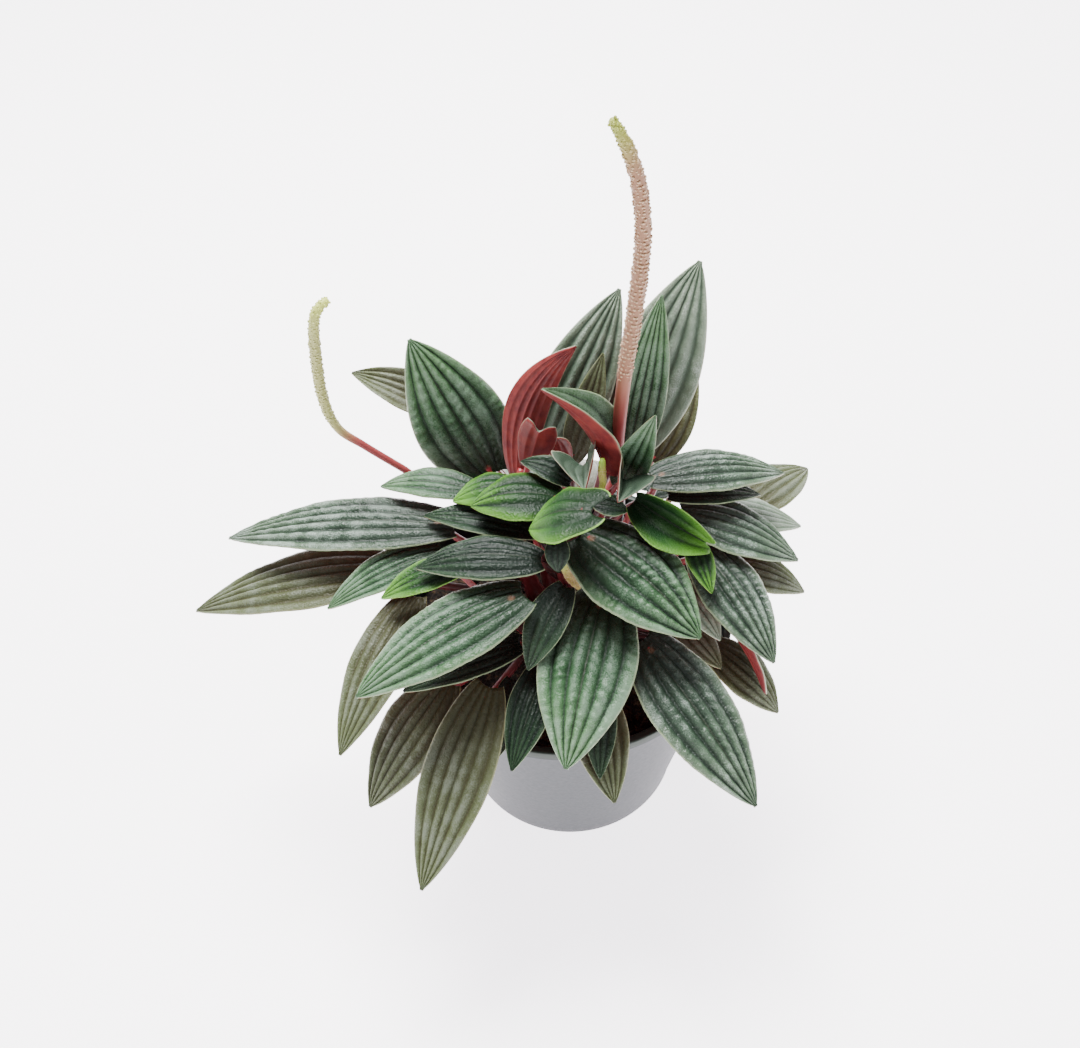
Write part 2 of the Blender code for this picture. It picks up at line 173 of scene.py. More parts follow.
@dataclass(frozen=True)
class Finish:
    """One material. Subclasses hold its colours and say how they vary."""

    name: str
    roughness: float = 0.45
    specular: float = 0.5
    coat: float = 0.0

    COAT_ROUGHNESS = 0.25

    def material(self) -> bpy.types.Material:
        """Finds the material, or makes it.

        Returns:
            The finished material.
        """
        found = bpy.data.materials.get(self.name)
        if found:
            return found
        found = bpy.data.materials.new(self.name)
        found.use_nodes = True
        shader = self.shader()
        shader.inputs["Roughness"].default_value = self.roughness
        shader.inputs["Specular IOR Level"].default_value = self.specular
        shader.inputs["Coat Weight"].default_value = self.coat
        shader.inputs["Coat Roughness"].default_value = self.COAT_ROUGHNESS
        self.dress()
        return found

    def shader(self) -> bpy.types.Node:
        """The material's Principled shader."""
        return bpy.data.materials[self.name].node_tree.nodes["Principled BSDF"]

    def dress(self) -> None:
        """Adds what varies over the surface."""

    def node(self, kind: str, settings: dict, inputs: dict, output: int | str = 0) -> Value:
        """Adds one node.

        Args:
            kind: The node's Blender type.
            settings: Its properties, which are set first.
            inputs: A number, colour or Value for each socket, by index or name.
            output: The socket to return.

        Returns:
            The output socket.
        """
        tree = bpy.data.materials[self.name].node_tree
        made = tree.nodes.new(kind)
        for key, setting in settings.items():
            setattr(made, key, setting)
        for key, value in inputs.items():
            if isinstance(value, Value):
                tree.links.new(value.socket, made.inputs[key])
            elif isinstance(value, tuple) and made.inputs[key].type == "RGBA":
                made.inputs[key].default_value = (*value, 1.0)
            else:
                made.inputs[key].default_value = value
        return Value(self, made.outputs[output])

    def feed(self, socket: str, value: Value) -> None:
        """Links a value to a socket of the shader."""
        tree = bpy.data.materials[self.name].node_tree
        tree.links.new(value.socket, self.shader().inputs[socket])

    def mix(self, share: Value | float, first: Value | Colour, second: Value | Colour) -> Value:
        """A colour that goes from the first to the second as the share goes from 0 to 1."""
        return self.node("ShaderNodeMix", {"data_type": "RGBA"}, {0: share, 6: first, 7: second}, 2)

    def trait(self, name: str) -> Value:
        """A number that the mesh carries at each point."""
        return self.node("ShaderNodeAttribute", {"attribute_name": name}, {}, "Fac")

    def noise(self, scale: float, detail: float = 2.0, offset: float = 0.0) -> Value:
        """Even noise from 0 to 1.

        Args:
            scale: Cells to the metre.
            detail: Octaves.
            offset: Shift that sets this noise apart from another of the same scale.

        Returns:
            The noise.
        """
        place = self.node("ShaderNodeTexCoord", {}, {}, "Object")
        if offset:
            place = self.node("ShaderNodeVectorMath", {"operation": "ADD"}, {0: place, 1: (offset,) * 3})
        return self.node("ShaderNodeTexNoise", {}, {"Vector": place, "Scale": scale, "Detail": detail})

    def cells(self, scale: float) -> Value:
        """Distance from the middle of a fine cell, from 0 up."""
        place = self.node("ShaderNodeTexCoord", {}, {}, "Object")
        return self.node("ShaderNodeTexVoronoi", {}, {"Vector": place, "Scale": scale}, "Distance")

    def bump(self, height: Value, distance: float, strength: float = 1.0) -> None:
        """Raises the surface by a height, in metres at 1."""
        inputs = {"Strength": strength, "Distance": distance, "Height": height}
        self.feed("Normal", self.node("ShaderNodeBump", {}, inputs))


@dataclass(frozen=True)
class BladeFinish(Finish):
    """The upper face of a leaf: dark veins with painted shade in their furrows, ridges with a painted sheen,
    a pale margin and a tan star at the joint.
    """

    # The dark valley colour is partly the veins' own colour and partly painted shade in the furrows; the
    # crests take the lighter ridge colour.
    valley: Colour = (0.005, 0.017, 0.007)
    ridge: Colour = (0.038, 0.108, 0.040)
    tip: Colour = (0.105, 0.200, 0.085)
    margin: Colour = (0.24, 0.30, 0.17)
    vein: Colour = (0.030, 0.040, 0.020)
    # Painted sheen: a light colour laid on the crests as a highlight, with the share two lines below setting
    # how much.
    painted_sheen: Colour = (0.19, 0.27, 0.20)
    star: Colour = (0.30, 0.15, 0.09)
    painted_sheen_share: float = 0.55
    dark_to: float = 0.80

    def dress(self) -> None:
        """Adds the veins with painted shade in the furrows, the painted sheen on the crests, the margin and
        the grain.
        """
        along, across = self.trait("along"), self.trait("across").math("ABSOLUTE")
        ridge, tone = self.trait("ridge"), self.trait("tone")
        grain = self.noise(2400.0, 3.0)
        patch = self.noise(170.0, 4.0, 7.3)
        cloud = self.noise(60.0, 2.0, 3.9)
        # The furrows are painted dark and the crests light, by how high each point stands on its ridge:
        # partly the veins' own colour, partly painted shade. The face also darkens towards the joint.
        lift = (ridge + (grain - 0.5) * 0.5 + (patch - 0.5) * 1.1 + (tone - 0.5) * 0.4).smooth(0.15, 1.15)
        lift = lift * (0.06 + along.smooth(0.0, self.dark_to) * 0.94)
        body = self.mix(lift, self.valley, self.ridge)
        body = self.mix(lift * along.smooth(0.40, 1.0) * 0.85, body, self.tip)
        body = self.mix(across.smooth(0.70, 1.0) * along.smooth(0.05, 0.5) * 0.5, body, self.tip)
        # Painted sheen: where the crests stand high, broken up by noise, the face is painted towards the
        # light sheen colour as a highlight.
        painted_sheen_mask = ridge + (grain - 0.5) * 1.6 + (patch - 0.5) * 1.6 + (cloud - 0.5) * 1.4 + (tone - 0.5) * 0.4
        painted_sheen_mask = painted_sheen_mask.smooth(0.70, 1.45) * along.smooth(0.05, 0.55) * self.painted_sheen_share
        body = self.mix(painted_sheen_mask, body, self.painted_sheen)
        midrib = (1.0 - across.smooth(0.0, 0.03)) * 0.6
        body = self.mix(midrib, body, self.vein)
        body = self.mix(across.smooth(0.955, 0.99) * 0.8, body, self.margin)
        body = self.mix(self.trait("star").smooth(0.3, 0.9) * 0.45, body, self.star)
        self.feed("Base Color", body)
        rough = self.roughness + (grain - 0.5) * 0.30 + (patch - 0.5) * 0.20 + (1.0 - ridge) * 0.10
        self.feed("Roughness", rough)
        self.bump(grain * 0.7 + self.cells(1300.0) * 0.6, 0.00030, 1.0)


@dataclass(frozen=True)
class UnderleafFinish(Finish):
    """The crimson underside of a leaf, with paler veins."""

    blush: Colour = (0.20, 0.030, 0.026)
    deep: Colour = (0.120, 0.016, 0.018)
    vein: Colour = (0.32, 0.07, 0.065)
    margin: Colour = (0.40, 0.22, 0.16)

    def dress(self) -> None:
        """Adds the veins and a soft mottle."""
        across = self.trait("across").math("ABSOLUTE")
        patch = self.noise(220.0, 3.0, 2.1)
        body = self.mix(patch.smooth(0.3, 0.7), self.deep, self.blush)
        body = self.mix((1.0 - across.smooth(0.0, 0.06)) * 0.8, body, self.vein)
        body = self.mix(across.smooth(0.95, 1.0) * 0.5, body, self.margin)
        self.feed("Base Color", body)
        self.bump(self.noise(1800.0, 2.0), 0.0001, 0.6)


@dataclass(frozen=True)
class StalkFinish(Finish):
    """Smooth red stalks that pale towards the blade and darken to near black towards their inner ends and
    the soil: painted shade deep in the plant.
    """

    # Painted shade: the near-black low colour stands for the shade deep in the plant; the high colour is the
    # stalks' red.
    low: Colour = (0.030, 0.007, 0.007)
    high: Colour = (0.27, 0.030, 0.036)
    speck: Colour = (0.45, 0.17, 0.15)

    def dress(self) -> None:
        """Adds the painted shade that darkens each tube towards its inner end, and fine lengthwise flecks.
        """
        fleck = self.noise(900.0, 3.0, 4.4)
        # Painted shade: darker towards each tube's inner end.
        body = self.mix(self.trait("rise").smooth(0.35, 1.0), self.low, self.high)
        body = self.mix(fleck.smooth(0.62, 0.8) * 0.35, body, self.speck)
        self.feed("Base Color", body)
        self.feed("Roughness", self.roughness + (fleck - 0.5) * 0.2)
        self.bump(fleck, 0.0001, 0.5)


@dataclass(frozen=True)
class SpikeFinish(Finish):
    """A flower spike: red stalk, tan cone with pale knobs, and a lime tip."""

    stalk: Colour = (0.26, 0.035, 0.035)
    cone: Colour = (0.24, 0.11, 0.050)
    knob: Colour = (0.60, 0.43, 0.27)
    tip: Colour = (0.30, 0.36, 0.045)
    cone_from: float = 0.3

    def dress(self) -> None:
        """Adds the three zones and the knobs' paler crowns."""
        rise, knob = self.trait("rise"), self.trait("knob")
        patch = self.noise(400.0, 2.0, 1.7)
        body = self.mix(rise.smooth(self.cone_from - 0.06, self.cone_from + 0.08), self.stalk, self.cone)
        body = self.mix(knob * (0.55 + patch * 0.6), body, self.knob)
        body = self.mix(rise.smooth(0.80, 0.97) * 0.9, body, self.tip)
        self.feed("Base Color", body)
        self.bump(self.noise(2500.0, 2.0), 0.0001, 0.5)


@dataclass(frozen=True)
class PotFinish(Finish):
    """Blue-grey moulded plastic with a slightly greener lip and faint handling marks."""

    body: Colour = (0.015, 0.022, 0.024)
    cloud: Colour = (0.020, 0.025, 0.033)
    lip: Colour = (0.026, 0.038, 0.030)

    def dress(self) -> None:
        """Adds the lip's tone, a soft unevenness and fine marks."""
        rise = self.trait("rise")
        cloud = self.noise(30.0, 3.0)
        marks = self.noise(700.0, 4.0, 3.0)
        body = self.mix((cloud - 0.5) * 0.4 + 0.2, self.body, self.cloud)
        body = self.mix(rise.smooth(0.955, 0.97), body, self.lip)
        self.feed("Base Color", body)
        self.feed("Roughness", self.roughness + (marks - 0.5) * 0.14)
        self.bump(marks, 0.00006, 0.5)


@dataclass(frozen=True)
class SoilFinish(Finish):
    """Black, moist potting soil with a few brown fibres."""

    dark: Colour = (0.008, 0.006, 0.005)
    brown: Colour = (0.06, 0.036, 0.020)

    def dress(self) -> None:
        """Adds crumbs of two browns and a coarse bump."""
        crumb = self.noise(500.0, 4.0)
        self.feed("Base Color", self.mix(crumb.smooth(0.45, 0.75), self.dark, self.brown))
        self.bump(crumb + self.cells(700.0), 0.0008, 1.0)


@dataclass(frozen=True)
class FloorFinish(Finish):
    """A plain white surface that glows, as a light table does."""

    white: Colour = (0.92, 0.92, 0.88)
    tint: Colour = (0.98, 0.93, 1.0)
    glow: float = 3.6

    def dress(self) -> None:
        """Sets the even colour and the glow."""
        inputs = self.shader().inputs
        inputs["Base Color"].default_value = (*self.white, 1.0)
        inputs["Emission Color"].default_value = (*self.tint, 1.0)
        inputs["Emission Strength"].default_value = self.glow


UPPER = {
    AgeAndLight.YOUNG: BladeFinish(
        "leaf_young", 0.34, 0.25, valley=(0.003, 0.014, 0.004), ridge=(0.012, 0.058, 0.010),
        tip=(0.13, 0.33, 0.035), margin=(0.24, 0.46, 0.09), painted_sheen=(0.11, 0.25, 0.07),
        painted_sheen_share=0.12, dark_to=0.95,
    ),
    AgeAndLight.MATURE: BladeFinish("leaf_mature", 0.33, 0.35),
    # Painted light: lighter crests and more painted sheen than the mature finish, for leaves that catch the
    # light.
    AgeAndLight.SILVERY: BladeFinish(
        "leaf_silvery", 0.33, 0.45, valley=(0.009, 0.020, 0.011), ridge=(0.070, 0.120, 0.074),
        tip=(0.110, 0.165, 0.095), painted_sheen=(0.31, 0.38, 0.33), painted_sheen_share=0.75,
    ),
    # Painted shade: near-black colours for leaves deep in the rosette.
    AgeAndLight.DARK: BladeFinish(
        "leaf_dark", 0.31, 0.25, valley=(0.003, 0.009, 0.005), ridge=(0.008, 0.021, 0.010),
        tip=(0.020, 0.048, 0.018), painted_sheen=(0.05, 0.08, 0.055), painted_sheen_share=0.15,
    ),
    AgeAndLight.OLIVE: BladeFinish(
        "leaf_olive", 0.38, 0.35, valley=(0.040, 0.040, 0.014), ridge=(0.085, 0.105, 0.052),
        tip=(0.110, 0.135, 0.055), margin=(0.24, 0.25, 0.13), painted_sheen=(0.20, 0.22, 0.185), painted_sheen_share=0.45,
    ),
    # Painted light: much lighter colours for leaves that catch the light.
    AgeAndLight.PALE: BladeFinish(
        "leaf_pale", 0.44, valley=(0.075, 0.115, 0.075), ridge=(0.210, 0.275, 0.205),
        tip=(0.21, 0.275, 0.18), margin=(0.36, 0.40, 0.27), painted_sheen=(0.38, 0.43, 0.38), painted_sheen_share=0.6,
    ),
    AgeAndLight.GREY: BladeFinish(
        "leaf_grey", 0.38, 0.35, valley=(0.030, 0.050, 0.032), ridge=(0.075, 0.115, 0.075),
        tip=(0.10, 0.15, 0.10), margin=(0.36, 0.33, 0.24), painted_sheen=(0.18, 0.24, 0.19), painted_sheen_share=0.4,
    ),
}
UNDER = UnderleafFinish("leaf_underside", 0.45, 0.2)
STALK = StalkFinish("stalk_red", 0.34, coat=0.15)
POT = PotFinish("pot_plastic", 0.42, 0.2)
SOIL = SoilFinish("potting_soil", 0.95, 0.2)
FLOOR = FloorFinish("floor_white", 0.75, 0.2)


@dataclass(frozen=True)
class Stem:
    """A short stem that leans out of the crown, in millimetres."""

    x: float
    y: float
    top: float
    radius: float = 4.0
    crown_share: float = 0.3

    def at(self, height: float) -> Vector:
        """The stem's middle at a height."""
        reach = (height - SOIL_TOP) / (self.top - SOIL_TOP)
        share = self.crown_share + (1.0 - self.crown_share) * reach
        return Vector((self.x * share, self.y * share, height))


SOIL_TOP = 84.0
GAP = 0.3
STEMS = [
    Stem(0.0, 0.0, 140.0),
    Stem(20.0, 6.0, 130.0),
    Stem(-19.0, 8.0, 126.0),
    Stem(14.0, -20.0, 116.0),
    Stem(-16.0, -20.0, 114.0),
    Stem(4.0, 24.0, 122.0),
    Stem(-8.0, 18.0, 118.0),
    Stem(13.0, 15.0, 124.0),
]
LEAFY_STEMS = 6


def link_mesh(
    name: str, verts: np.ndarray, faces: list, finishes: list[Finish], traits: dict[str, np.ndarray]
) -> bpy.types.Object:
    """Makes a smooth-shaded piece.

    Args:
        name: The piece's name.
        verts: Points in millimetres.
        faces: Point numbers of each face.
        finishes: One finish for each material index.
        traits: Numbers that each point carries for the shaders.

    Returns:
        The piece, linked to the scene.
    """
    mesh = bpy.data.meshes.new(name)
    mesh.from_pydata((verts * MM).tolist(), [], faces)
    for finish in finishes:
        mesh.materials.append(finish.material())
    for key, values in traits.items():
        mesh.attributes.new(key, "FLOAT", "POINT").data.foreach_set("value", values.astype(np.float32))
    mesh.shade_smooth()
    piece = bpy.data.objects.new(name, mesh)
    bpy.context.scene.collection.objects.link(piece)
    return piece


def declare(piece: bpy.types.Object, slot: str, *nodes: str) -> None:
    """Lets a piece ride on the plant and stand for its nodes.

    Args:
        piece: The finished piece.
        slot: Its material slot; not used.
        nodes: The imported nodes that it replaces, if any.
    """
    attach(piece, "root")
    if nodes:
        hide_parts(*nodes)
    LOG.info("%s: %d faces for %s", piece.name, len(piece.data.polygons), ", ".join(nodes))


@dataclass(frozen=True)
class Leaf:
    """One leaf: two pixels with their heights, and the blade's form, in millimetres and degrees."""

    name: str
    joint: Pixel
    tip: Pixel
    joint_z: float
    tip_z: float
    width: float
    arch: float
    bank: float
    fold: float
    age_and_light: AgeAndLight
    stem: int | None = None
    quilt: float = 0.5
    lobe: float = 0.35
    blunt: float = 0.0
    notch: float = 0.0
    sweep: float = 0.0

    JOINT_SHARE = 0.07
    THICKNESS = 0.9
    SMALL_LENGTH = 40.0
    SIMPLE_WIDTH = 15.0
    FINE_QUILT = 0.75
    FEW_VEINS = (0.0, 0.46, 1.15)
    MANY_VEINS = (0.0, 0.32, 0.68, 1.12)

    def axes(self) -> tuple[Vector, float, Vector, Vector, Vector]:
        """Finds where the blade lies.

        Returns:
            The stalk joint, the blade's length, and its directions along, to the left and up.
        """
        joint = VIEW.sight(self.joint, self.joint_z)
        span = VIEW.sight(self.tip, self.tip_z) - joint
        along = span.normalized()
        steep = min(1.0, 1.3 * max(0.0, along.z))
        facing = Vector((0.0, 0.0, 1.0)).lerp(VIEW.axes()[2], steep)
        up = (facing - facing.dot(along) * along).normalized()
        up = Matrix.Rotation(-math.radians(self.bank), 3, along) @ up
        return joint, span.length, along, up.cross(along), up

    def petiole_radius(self) -> float:
        """The petiole's radius where it meets the blade."""
        return 1.3 * min(1.0, 0.5 + 0.018 * self.width)

    def carrier(self, joint: Vector) -> Stem:
        """Chooses the stem that carries this leaf.

        Args:
            joint: Where the petiole meets the blade.

        Returns:
            The stem given, or the nearest leafy stem that stands further in than the joint.
        """
        if self.stem is not None:
            return STEMS[self.stem]
        reach = 0.8 * math.hypot(joint.x, joint.y)
        inner = [stem for stem in STEMS[:LEAFY_STEMS] if math.hypot(stem.x, stem.y) < reach]
        return min(inner or STEMS[:1], key=lambda stem: math.hypot(stem.x - joint.x, stem.y - joint.y))

    def petiole(self, runs: int) -> list[Vector]:
        """Finds the petiole's route.

        Args:
            runs: Number of straight runs.

        Returns:
            Points from inside the stem to the underside of the blade.
        """
        joint, length, along, _, up = self.axes()
        stem = self.carrier(joint)
        start = stem.at(min(stem.top - 6.0, max(SOIL_TOP + 6.0, joint.z - 32.0)))
        slope = 4.0 * self.arch * (1.0 - 2.0 * self.JOINT_SHARE) / length
        face = (up - slope * along).normalized()
        away = Vector((joint.x - start.x, joint.y - start.y, 0.0))
        away = away.normalized() if away.length > 1.0 else Vector((0.0, 0.0, 0.0))
        steep = max(0.0, along.z)
        arrive = (face + 0.8 * (1.0 - steep) * away + 2.0 * steep * along).normalized()
        end = joint - face * (self.THICKNESS + 0.1)
        pull = 0.45 * (end - start).length
        leave = (Vector((0.0, 0.0, 1.0)) + away).normalized()
        return bezier(start, start + pull * leave, end - 0.6 * pull * arrive, end, runs)

    def half_width(self, share: np.ndarray) -> np.ndarray:
        """The half width as a share of the widest, from the base lobe at 0 to the tip at 1."""
        return np.maximum(0.05, np.sin(np.pi * np.minimum(share, 1.0) ** 0.82).clip(0.0) ** 0.78)

    def relief(self, along: np.ndarray, across: np.ndarray, seed: float) -> tuple[np.ndarray, np.ndarray]:
        """Works out the furrows and the puckers across them.

        Args:
            along: Share of the length at each point.
            across: From -1 at the right margin to 1 at the left one.
            seed: Sets this leaf's puckers apart from the others'.

        Returns:
            Height in millimetres, and how high on a ridge each point stands, from 0 to 1, raised on the
            puckers' crests: the mask by which the upper finish paints shade in the furrows and sheen on the
            crests.
        """
        simple = self.age_and_light is AgeAndLight.YOUNG or self.width < self.SIMPLE_WIDTH
        veins = self.FEW_VEINS if simple else self.MANY_VEINS
        reach = np.abs(across)
        ridge = np.zeros_like(reach)
        band = np.zeros_like(reach)
        for number, (low, high) in enumerate(zip(veins, veins[1:])):
            inside = (reach >= low) & (reach <= high)
            swell = np.sin(np.pi * ((reach - low) / (high - low)).clip(0.0, 1.0)) ** 0.75
            ridge = np.where(inside, swell, ridge)
            band = np.where(inside, number + 4.0 * (across > 0), band)
        fade = np.sin(np.pi * along.clip(0.02, 0.98)) ** 0.5
        wander = 1.6 * np.sin(2.0 * np.pi * 3.1 * along + 2.1 * band + seed)
        wander += 1.1 * np.sin(2.0 * np.pi * 5.3 * along + 4.0 * reach - 1.7 * band + 2.3 * seed)
        turn = 2.0 * np.pi * (self.pleats() * along - 1.3 * reach) + 1.9 * band + seed + wander
        strength = (0.65 + 0.35 * np.sin(2.0 * np.pi * 1.7 * along + 2.9 * band + 1.3 * seed)) * self.quilt
        pucker = (0.5 + 0.5 * np.sin(turn)) * ridge
        furrow = 0.050 * self.width * (ridge**1.4 - 0.6) * fade
        dents = 0.022 * self.width * strength * (pucker - 0.4) * fade
        # The colour mask: low in the furrows and raised on the puckers' crests, where the upper finish
        # paints shade and highlight.
        shade = ridge**0.60 * (1.0 - 0.14 * strength + 0.22 * strength * pucker)
        return furrow + dents, shade.clip(0.0, 1.0)

    def pleats(self) -> float:
        """How many puckers a ridge has from end to end."""
        return 16.0 if self.width > 20.0 else 11.0

    def build(self, seed: float) -> bpy.types.Object:
        """Makes the blade as one closed piece: a red underside, and a furrowed upper face.

        Args:
            seed: Sets this leaf's puckers and tone apart from the others'.

        Returns:
            The blade.
        """
        joint, length, forward, left, up = self.axes()
        rows, columns = self.mesh_size(length)
        share = np.repeat(np.linspace(0.0, 1.0, rows + 1), columns + 1)
        across = np.tile(np.linspace(-1.0, 1.0, columns + 1), rows + 1)
        half = 0.5 * self.width * self.half_width(0.06 + 0.94 * share * (1.0 - self.blunt))
        lobe = -self.lobe * half * across**2 * np.maximum(0.0, 1.0 - 5.0 * share)
        lobe -= self.notch * np.exp(-((across / 0.35) ** 2)) * share**10
        height, ridge = self.relief(share, across, seed)
        rise = 4.0 * self.arch * (share * (1.0 - share) - self.JOINT_SHARE * (1.0 - self.JOINT_SHARE))
        ruffle = 0.012 * self.width * np.sin(2 * np.pi * 3.1 * share + 2.0 * seed + 2.0 * across) * across**4
        x = length * (1.0 + self.JOINT_SHARE) * share - self.JOINT_SHARE * length + lobe
        top = rise + self.fold * half * np.abs(across) ** 1.6 + height + ruffle * np.sin(np.pi * share)
        edge = np.minimum(1.0 - np.abs(across), np.minimum(share, 1.0 - share) * 3.0)
        thick = self.THICKNESS * (0.35 + 0.65 * (edge / 0.12).clip(0.0, 1.0) ** 0.5)
        frame_of_leaf = np.array([forward, left, up])
        y = half * across + 4.0 * self.sweep * share * (1.0 - share)
        upper = np.stack([x, y, top], 1) @ frame_of_leaf + np.array(joint)
        lower = np.stack([x, y, top - thick - 0.35 * height], 1) @ frame_of_leaf + np.array(joint)
        faces, indices = self.skin(rows, columns)
        star = np.exp(-((np.hypot(x, half * across) / (0.03 * self.width + 0.7)) ** 1.5))
        star *= 1.0 if self.quilt > self.FINE_QUILT else 0.35
        # The ridge trait carries the mask for the painted shade and sheen.
        traits = {
            "along": np.tile(share, 2), "across": np.tile(across, 2), "ridge": np.tile(ridge, 2),
            "star": np.tile(star, 2), "tone": np.full(2 * len(share), (math.sin(seed * 12.9) + 1.0) / 2.0),
        }
        verts = np.concatenate([upper, lower])
        blade = link_mesh(f"blade_{self.name}", verts, faces, [UPPER[self.age_and_light], UNDER], traits)
        blade.data.polygons.foreach_set("material_index", indices)
        return blade

    def mesh_size(self, length: float) -> tuple[int, int]:
        """How many faces the blade has along and across."""
        if length < self.SMALL_LENGTH:
            return 36, 32
        return (96, 56) if self.quilt > self.FINE_QUILT else (64, 44)

    @staticmethod
    def skin(rows: int, columns: int) -> tuple[list, list[int]]:
        """Lists a blade's faces.

        Args:
            rows: Faces from base to tip.
            columns: Faces from margin to margin.

        Returns:
            The faces, and 0 for each upper or margin face and 1 for each lower one.
        """
        wide = columns + 1
        total = (rows + 1) * wide
        cells = [(r * wide + c) for r in range(rows) for c in range(columns)]
        upper = [(i, i + wide, i + wide + 1, i + 1) for i in cells]
        lower = [(i + total, i + 1 + total, i + wide + 1 + total, i + wide + total) for i in cells]
        ring = list(range(wide)) + [r * wide + columns for r in range(1, rows + 1)]
        ring += [rows * wide + c for c in range(columns - 1, -1, -1)]
        ring += [r * wide for r in range(rows - 1, 0, -1)]
        rim = [(a, b, b + total, a + total) for a, b in zip(ring, ring[1:] + ring[:1])]
        return upper + lower + rim, [0] * len(upper) + [1] * len(lower) + [0] * len(rim)


def bezier(a: Vector, b: Vector, c: Vector, d: Vector, count: int) -> list[Vector]:
    """Finds points along one cubic curve.

    Args:
        a: Its start.
        b: The first handle.
        c: The second handle.
        d: Its end.
        count: Number of steps.

    Returns:
        One point more than the steps.
    """
    shares = [i / count for i in range(count + 1)]
    return [a * (1 - t) ** 3 + b * 3 * t * (1 - t) ** 2 + c * 3 * t * t * (1 - t) + d * t**3 for t in shares]


@dataclass
class Tube:
    """A swept tube with closed ends, in millimetres."""

    points: np.ndarray
    radii: np.ndarray
    sides: int = 12

    def frames(self) -> tuple[np.ndarray, np.ndarray]:
        """Two directions square to the route at each of its points, without twist."""
        steps = np.gradient(self.points, axis=0)
        steps /= np.linalg.norm(steps, axis=1)[:, None]
        side = np.cross(steps[0], (0.0, 0.0, 1.0) if abs(steps[0][2]) < 0.9 else (1.0, 0.0, 0.0))
        sides = []
        for step in steps:
            side = side - step * np.dot(side, step)
            side = side / np.linalg.norm(side)
            sides.append(side)
        first = np.array(sides)
        return first, np.cross(steps, first)

    def mesh(self, start: int = 0) -> tuple[np.ndarray, list, np.ndarray]:
        """Makes the tube's points and faces.

        Args:
            start: Number of the tube's first point in the piece.

        Returns:
            The points, the faces, and each point's share of the route from 0 to 1.
        """
        first, second = self.frames()
        turn = np.linspace(0.0, 2 * np.pi, self.sides, endpoint=False)
        ring = first[:, None] * np.cos(turn)[None, :, None] + second[:, None] * np.sin(turn)[None, :, None]
        verts = (self.points[:, None] + ring * self.radii[:, None, None]).reshape(-1, 3)
        count, sides = len(self.points), self.sides
        faces = []
        for k in range(count - 1):
            for i in range(sides):
                j = (i + 1) % sides
                low, high = start + k * sides, start + (k + 1) * sides
                faces.append((low + i, low + j, high + j, high + i))
        faces.append(tuple(start + i for i in reversed(range(sides))))
        faces.append(tuple(start + (count - 1) * sides + i for i in range(sides)))
        return verts, faces, np.repeat(np.linspace(0.0, 1.0, count), sides)


@dataclass
class Foliage:
    """All the leaf blades, with the tiny ones between them that stand for no node."""

    leaves: list[Leaf]
    buds: list[Leaf]

    def build(self) -> None:
        """Makes every blade and lets it stand for its node."""
        for number, leaf in enumerate(self.leaves):
            declare(leaf.build(1.7 * number + 0.6), "blade", f"leaf_{leaf.name}")
        for number, leaf in enumerate(self.buds):
            declare(leaf.build(2.3 * number + 0.9), "blade")


@dataclass
class Stalks:
    """The short stems and the petioles, as one red piece."""

    leaves: list[Leaf]
    petiole_runs: int = 22
    foot_depth: float = 8.0

    def build(self) -> None:
        """Makes the tubes and joins them in one piece."""
        verts, faces, rise = [], [], []
        total = 0
        for tube in [self.stem(stem) for stem in STEMS] + [self.petiole(leaf) for leaf in self.leaves]:
            points, skins, share = tube.mesh(total)
            verts.append(points)
            faces += skins
            rise.append(share)
            total += len(points)
        # For the stalks, rise also sets the painted shade towards their inner ends.
        traits = {"rise": np.concatenate(rise)}
        piece = link_mesh("stems_and_stalks", np.concatenate(verts), faces, [STALK], traits)
        declare(piece, "stalk", "stems_and_petioles")

    def stem(self, stem: Stem) -> Tube:
        """A thick stem with slightly swollen nodes and a rounded top."""
        heights = np.linspace(SOIL_TOP - self.foot_depth, stem.top, 26)
        points = np.array([stem.at(height) for height in heights])
        share = np.linspace(0.0, 1.0, len(heights))
        radii = stem.radius * (1.0 - 0.3 * share) * (1.0 + 0.06 * np.sin(share * 19.0))
        radii[-1] *= 0.55
        radii[-2] *= 0.9
        return Tube(points, radii, 16)

    def petiole(self, leaf: Leaf) -> Tube:
        """A petiole, thickest at the stem and flared a little under the blade."""
        route = np.array([tuple(point) for point in leaf.petiole(self.petiole_runs)])
        share = np.linspace(0.0, 1.0, len(route))
        radii = leaf.petiole_radius() * (1.35 - 0.40 * share + 0.25 * share**8)
        return Tube(route, radii, 12)


def ball() -> tuple[np.ndarray, list[list[int]]]:
    """Makes a small round ball.

    Returns:
        Its points at radius 1, and the point numbers of each face.
    """
    mesh = bmesh.new()
    bmesh.ops.create_icosphere(mesh, subdivisions=1, radius=1.0)
    points = np.array([tuple(vertex.co) for vertex in mesh.verts])
    corners = [[vertex.index for vertex in face.verts] for face in mesh.faces]
    mesh.free()
    return points, corners


